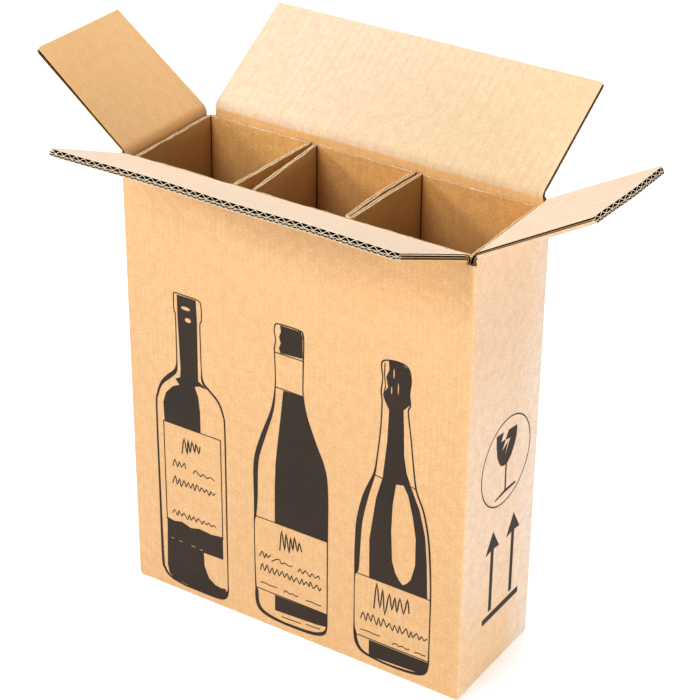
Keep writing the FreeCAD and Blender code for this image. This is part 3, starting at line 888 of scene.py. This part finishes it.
claret = {   # high shoulders, straight sides
    "at": -98.0,
    "outline": [(0, 8.6, 2), (22, 9.2, 3), (30.4, 12.4, 3.6), (33.8, 20, 1.6), (34, 30, 1.1),
                (34, 100, 1.4), (34, 176, 1.5), (32.6, 191, 1.7), (28, 202, 2), (20, 209.4, 2),
                (13.6, 215, 2.4), (12.2, 226, 1), (12, 250, 1), (12, 267, 1), (13.6, 271.5, 1),
                (13.6, 283, 1), (11.4, 288.4, 1), (0, 289, 1), (-11.6, 289, 1), (-13, 286, 1),
                (-13, 273, 1), (-11.8, 269, 1), (-11.8, 240, 1), (-12, 225, 1.4), (-14, 217, 3.4),
                (-21, 209.6, 4), (-28, 201.4, 2.6), (-32.4, 190, 1.9), (-34, 176, 1.7), (-33.8, 100, 2.0),
                (-33.4, 30, 2.6), (-31.8, 19, 2.6), (-26, 12, 2.4), (-13, 8.8, 2)],
    "solids": [
        [[(-9.8, 288), (8.6, 288), (9.2, 268), (8.8, 230), (8.8, 215), (13.4, 212.4), (17, 209.6),
          (9.6, 210.4), (5.2, 208.6), (8.4, 200), (9.8, 186), (9.8, 166), (-26.4, 166), (-27, 184),
          (-24, 194), (-17, 202), (-10, 205.6), (-14, 210), (-9, 213), (-8.4, 222), (-9.8, 270)],
         oval(-1.6, 277.6, 9, 3.2), oval(0.4, 267.6, 6, 4)],
        [[(-27, 72), (-20, 70.6), (-12, 72.4), (-3, 69.6), (6, 72), (18, 70.8), (29.6, 72.6), (29.6, 50),
          (9.6, 49.4), (10.2, 36), (14.4, 25.6), (21, 21), (26.6, 20), (31, 21), (33, 17), (27, 9),
          (0, 8.8), (-22, 11), (-27, 15), (-28.6, 23), (-27.8, 52)],
         oval(-22.5, 52.4, 4, 0.6, 6), oval(-14, 52.2, 5.4, 0.6, 6), oval(-1, 51.8, 5.4, 0.6, 6),
         oval(7, 51.2, 4, 0.6, 6)],
    ],
    "lines": [[(-27.4, 166.4), (29.4, 166.4), (29.6, 70)], [(-27.4, 167), (-27.4, 70)]],
    "scribbles": [(-9, 9, 150, 7, 9, 1), (-20, -6, 129, 3.4, 6, 2), (1, 22, 126, 2.2, 6, 3),
                  (-20, 23, 112, 3.8, 19, 4), (-22, 23, 80, 2.6, 18, 5)],
}
burgundy = {   # sloping shoulders, a plain band round the neck
    "at": -1.2,
    "outline": [(0, 10, 2.8), (20, 11, 3.2), (31, 14.6, 3.4), (35, 21, 1.7), (35.7, 34, 1.1),
                (35.7, 100, 1.1), (35.7, 152, 1.1), (32.8, 175, 1.2), (24.4, 195, 1.2), (16, 217, 1.2),
                (12.6, 235, 1.1), (12.6, 252, 1.1), (12.8, 267, 1.3), (13.2, 280, 1.1), (12.6, 288.4, 1.4),
                (9.4, 291.4, 1.2), (-9, 291.4, 1.1), (-13, 289.6, 1.2), (-14, 284, 1), (-12.8, 276, 1),
                (-14, 268, 1.1), (-13.4, 250, 1), (-13.6, 233, 1.2), (-16.6, 212, 2.8), (-25, 187, 4.4),
                (-31.2, 167, 4.6), (-33.2, 151, 4.6), (-33.4, 125, 3.8), (-34.2, 108, 2.4), (-35.2, 98, 1),
                (-35, 60, 1), (-34.4, 37, 1.4), (-33.6, 33, 3.2), (-33.2, 23, 3.6), (-30, 15.6, 4),
                (-22, 11.8, 3.4), (-10, 10.2, 2.8)],
    "solids": [
        [[(-8.6, 290.6), (10.6, 290.6), (12.2, 286), (12, 267.4), (-8.4, 266), (-9.8, 270), (-8, 275),
          (-9.6, 280), (-7.8, 285)]],
        [[(-6, 233.4), (12, 233.8), (16, 217), (24.6, 195), (33, 175), (34.9, 163), (35.8, 152),
          (35.8, 107.2), (-15, 106.8), (-14.8, 140), (-13.8, 164), (-10.8, 191), (-8, 214)]],
        [[(-15.4, 35), (35.2, 35.4), (35.2, 23), (26, 21.6), (-15.4, 19.6)]],
    ],
    "lines": [[(-35, 106.6), (35.4, 106.8)], [(-35, 36), (35.4, 35.6)], [(-13.4, 265.4), (12.4, 265.4)],
              [(-13.4, 234.4), (12.4, 234)], [(-9, 15.6), (10, 16.4)], [(15, 17.6), (29, 18.4)]],
    "scribbles": [(-10, 11, 91, 9.5, 10, 6), (-30, -20, 71.4, 3, 5, 7), (-17, 2, 70, 1.6, 5, 8),
                  (7, 29, 69, 2.2, 8, 9), (-30, 30, 58.6, 3.8, 25, 10), (-30, -14, 43, 0.4, 3, 11),
                  (-7, 8, 42.4, 1.2, 5, 12), (14, 32, 42, 0.4, 3, 13)],
}
sparkling = {   # foiled neck over a swelling body
    "at": 95.5,
    "outline": [(0, 10, 2.2), (20, 11.4, 2.6), (31, 15.6, 3), (35, 25, 1.4), (35.2, 40, 1.1),
                (35.2, 90, 1.3), (33.8, 121, 1.6), (31.4, 146, 1.7), (26.6, 168, 1.7), (19.6, 185, 1.5),
                (16.4, 206, 1.3), (13.4, 231, 1.2), (10.6, 252, 1.3), (12.4, 258, 1.2), (11.4, 268, 1.2),
                (12.4, 279, 1.2), (10.4, 288.4, 1.4), (4, 292, 1.2), (-8.6, 290.8, 1.2),
                (-13.6, 286.4, 1.2), (-12.4, 274, 1), (-13.6, 262, 1.3), (-12.6, 254, 1.2),
                (-13.4, 229, 1.2), (-16.4, 200, 1.4), (-18.6, 186, 2.2), (-25.6, 165, 5), (-31.2, 139, 5.6),
                (-32.8, 112, 5.2), (-33.4, 92, 4.2), (-35, 84, 1), (-35, 40, 1.1), (-34, 29, 3),
                (-32.2, 20, 3.4), (-26.6, 13.4, 2.8), (-14, 10.8, 2.2)],
    "solids": [
        [[(-7.4, 291), (4, 291.8), (10, 288.4), (12, 280), (11, 268), (12, 258.4), (6.4, 252), (7.2, 236),
          (8, 212), (10.4, 198), (15, 186), (23, 168), (28.6, 146), (30.8, 121), (32.2, 88.2),
          (-21.4, 88.2), (-21.8, 125), (-16.4, 165), (-10.8, 186), (-7.4, 219), (-6.2, 248), (-10, 255),
          (-12, 260), (-7.6, 268), (-9.4, 276), (-6.8, 283)],
         [(1.4, 184), (8, 185.6), (12.4, 178), (17, 160), (20.2, 141), (20.4, 116), (16.9, 101), (13.4, 96),
          (9.6, 93), (6, 96.4), (2.6, 102), (-0.6, 112), (-2, 140), (-1.2, 164)],
         oval(-2.6, 281, 1.1, 9, 8), oval(1.4, 269, 1, 11, 8), oval(-4.4, 266, 1, 7, 8)],
        [[(-20.6, 27.4), (34.6, 27.4), (34, 19), (30, 14), (-20, 11.6), (-20.6, 15)]],
    ],
    "lines": [[(-34.9, 88.4), (35, 88.4)], [(-35, 28.4), (35, 28.4)], [(-18.6, 186), (-10.6, 185.4)],
              [(15, 187), (19.2, 185.8)], [(-10.6, 288), (-11, 278), (-9.8, 268), (-11.4, 260)]],
    "scribbles": [(-16, 16, 72, 11, 12, 14), (-29, 33, 49, 4.2, 25, 15), (-29, -10, 35, 0.4, 3, 16),
                  (1, 18, 33, 1.2, 5, 17), (23, 33, 33, 0.4, 3, 18)],
}


def makePrint(name, bm):
    flat = bm.loops.layers.uv.new("boardMap")
    for face in bm.faces:
        for loop in face.loops:
            loop[flat].uv = (loop.vert.co.x + loop.vert.co.y, loop.vert.co.z)
    makePiece(name, bm, "carton", materials=[finish["ink"]], smooth=False)


def makeFrontPrint():
    bm = bmesh.new()
    for bottle in (claret, burgundy, sparkling):
        def place(x, z, rise, middle=bottle["at"]):
            return Vector(((middle + x) / 1000, -halfDeep - rise, z / 1000))

        inkLine(bm, smoothLine(bottle["outline"], True), place, True)
        for loops in bottle["solids"]:
            inkSolid(bm, loops, place)
        for points in bottle["lines"]:
            inkLine(bm, [(x, z, ink["thin"]) for x, z in points], place)
        for row in bottle["scribbles"]:
            inkLine(bm, smoothLine(scribble(*row), steps=3), place)
    makePrint("frontPrint", bm)


handling = {   # a cracked glass in a ring, and two upright arrows over a bar; "arrows" are their middles
    "ringAt": (4.6, 195.0), "ringRadius": 38.0,
    "arrows": (-10.6, 22.2), "tip": 137.6, "foot": 61.5, "headWide": 10.8, "headTall": 18.5,
    "barb": 1, "halfShaft": 2.4,
    "bar": (-22, 35.6, 52.6, 58.4),
    "bowlLeft": [(-17.2, 30), (-5.8, 28.6), (-9.5, 21.5), (-1.8, 20.6), (-7.5, 12), (1.7, 17.2), (-2.5, 5),
                 (-0.6, -3), (-5, -2.6), (-10, 1), (-14.4, 9), (-16.6, 20)],
    "bowlRight": [(1.9, 27.1), (15.7, 25), (15, 15), (12.4, 8.5), (8, 1.5), (3, -2.6), (-0.6, -3), (-2.5, 5),
                  (5, 18.4), (-2.9, 20.2)],
    "stem": [(-0.9, -2.4), (1.4, -2.4), (1.8, -27.4), (-0.4, -27.4)],
    "footPlate": [(-15.6, -30.5), (-14.6, -28.8), (0, -26.6), (16.4, -27.2), (17.2, -29.6), (0, -29.4)],
}


def makeEndMarks():
    bm = bmesh.new()

    def place(y, z, rise):
        return Vector((halfWide + rise, y / 1000, z / 1000))

    ringY, ringZ = handling["ringAt"]
    radius = handling["ringRadius"]
    ring = [(y, z, ink["line"]) for y, z in oval(ringY, ringZ, 2 * radius, 2 * radius, 64)]
    inkLine(bm, ring, place, True)
    for part in ("bowlLeft", "bowlRight", "stem", "footPlate"):
        inkSolid(bm, [[(ringY + y, ringZ + z) for y, z in handling[part]]], place)
    tip, foot, wide, half = (handling[key] for key in ("tip", "foot", "headWide", "halfShaft"))
    neck = tip - handling["headTall"]
    barb = neck + handling["barb"]
    for y in handling["arrows"]:
        inkSolid(bm, [[(y, tip), (y - wide, neck), (y - half, barb), (y - half, foot), (y + half, foot),
                       (y + half, barb), (y + wide, neck)]], place)
    left, right, low, high = handling["bar"]
    inkSolid(bm, [[(left, low), (right, low), (right, high), (left, high)]], place)
    makePrint("endMarks", bm)


makeFrontPrint()
makeEndMarks()

# floor, light and camera
studio = {
    "floorHalf": 6.0, "floorTone": (238, 238, 238),
    "glowNear": 0.5, "glowFar": 1.0, "farFrom": 1.5, "farAt": 4.0,
    "skyLight": 0.22, "skyTone": 0.8,     # what falls on the object; what is seen behind it is plain white
    "cameraPlace": (0.830456, -1.276171, 1.112268), "cameraTurn": (60.12, -0.95, 32.13), "sensor": 36,
    "lens": 114.03, "shift": (-0.0436, 0.0125),
    "lamps": {   # place, aim, size across, watts, colour
        "keyLamp": ((-0.60, -2.40, 2.15), (0, 0, 0.3), 1.3, 37, (1.0, 0.99, 0.97)),
        "leftLamp": ((-2.30, -1.70, 1.75), (0, 0, 0.3), 0.5, 34, (1.0, 0.99, 0.98)),
        "sideLamp": ((2.40, -0.90, 0.34), (0, 0, 0.22), 0.7, 39, (0.97, 0.98, 1.0)),
        "topLamp": ((-0.45, 1.00, 2.65), (0, 0, 0.4), 1.4, 35, (1.0, 1.0, 1.0)),
    },
}


def seenOrLit(tree, lit, seen, output):   # one shader for the eye and for mirrors, another for light
    path = addNode(tree, "ShaderNodeLightPath").outputs
    looking = mathStep(tree, "MAXIMUM", path["Is Camera Ray"], path["Is Glossy Ray"])
    looking = mathStep(tree, "MAXIMUM", looking, path["Is Transmission Ray"])
    mixed = addNode(tree, "ShaderNodeMixShader", {0: looking, 1: lit, 2: seen})
    addNode(tree, output, {0: mixed.outputs[0]})


def makeFloor():
    material = bpy.data.materials.new("studioFloor")
    material.use_nodes = True
    tree = material.node_tree
    tree.nodes.clear()
    diffuse = addNode(tree, "ShaderNodeBsdfDiffuse", {"Color": tone(*studio["floorTone"])})
    spot = addNode(tree, "ShaderNodeTexCoord").outputs["Object"]
    distance = addNode(tree, "ShaderNodeVectorMath", {0: spot}, operation="LENGTH")
    away = smoothStep(tree, distance.outputs["Value"], studio["farFrom"], studio["farAt"])
    extra = mathStep(tree, "MULTIPLY", away, studio["glowFar"] - studio["glowNear"])
    glow = addNode(tree, "ShaderNodeEmission", {"Strength": mathStep(tree, "ADD", extra, studio["glowNear"])})
    both = addNode(tree, "ShaderNodeAddShader", {0: diffuse.outputs[0], 1: glow.outputs[0]})
    seenOrLit(tree, diffuse.outputs[0], both.outputs[0], "ShaderNodeOutputMaterial")
    bm = bmesh.new()
    bmesh.ops.create_grid(bm, x_segments=2, y_segments=2, size=studio["floorHalf"])
    toObject("floor", bm, [material])


def makeWorld():
    world = bpy.data.worlds.new("studio")
    bpy.context.scene.world = world
    world.use_nodes = True
    tree = world.node_tree
    tree.nodes.clear()
    skies = []
    for grey, strength in ((studio["skyTone"], studio["skyLight"]), (1.0, 1.0)):
        sky = addNode(tree, "ShaderNodeBackground", {"Color": (grey, grey, grey, 1.0), "Strength": strength})
        skies.append(sky.outputs[0])
    seenOrLit(tree, *skies, "ShaderNodeOutputWorld")


def makeLamp(name, place, aim, size, watts, colour):
    lamp = bpy.data.lights.new(name, "AREA")
    lamp.shape = "DISK"
    lamp.size = size
    lamp.energy = watts
    lamp.color = colour
    holder = bpy.data.objects.new(name, lamp)
    holder.location = place
    holder.rotation_euler = (Vector(aim) - Vector(place)).to_track_quat("-Z", "Y").to_euler()
    bpy.context.scene.collection.objects.link(holder)


def makeCamera():
    camera = bpy.data.cameras.new("camera")
    camera.sensor_width = studio["sensor"]
    camera.lens = studio["lens"]
    camera.shift_x, camera.shift_y = studio["shift"]
    holder = bpy.data.objects.new("camera", camera)
    holder.location = studio["cameraPlace"]
    holder.rotation_euler = [math.radians(a) for a in studio["cameraTurn"]]
    bpy.context.scene.collection.objects.link(holder)
    bpy.context.scene.camera = holder


makeFloor()
makeWorld()
for lampName, lampSizes in studio["lamps"].items():
    makeLamp(lampName, *lampSizes)
makeCamera()
print("floor, lamps and camera made")
bpy.context.scene.view_settings.view_transform = "Standard"
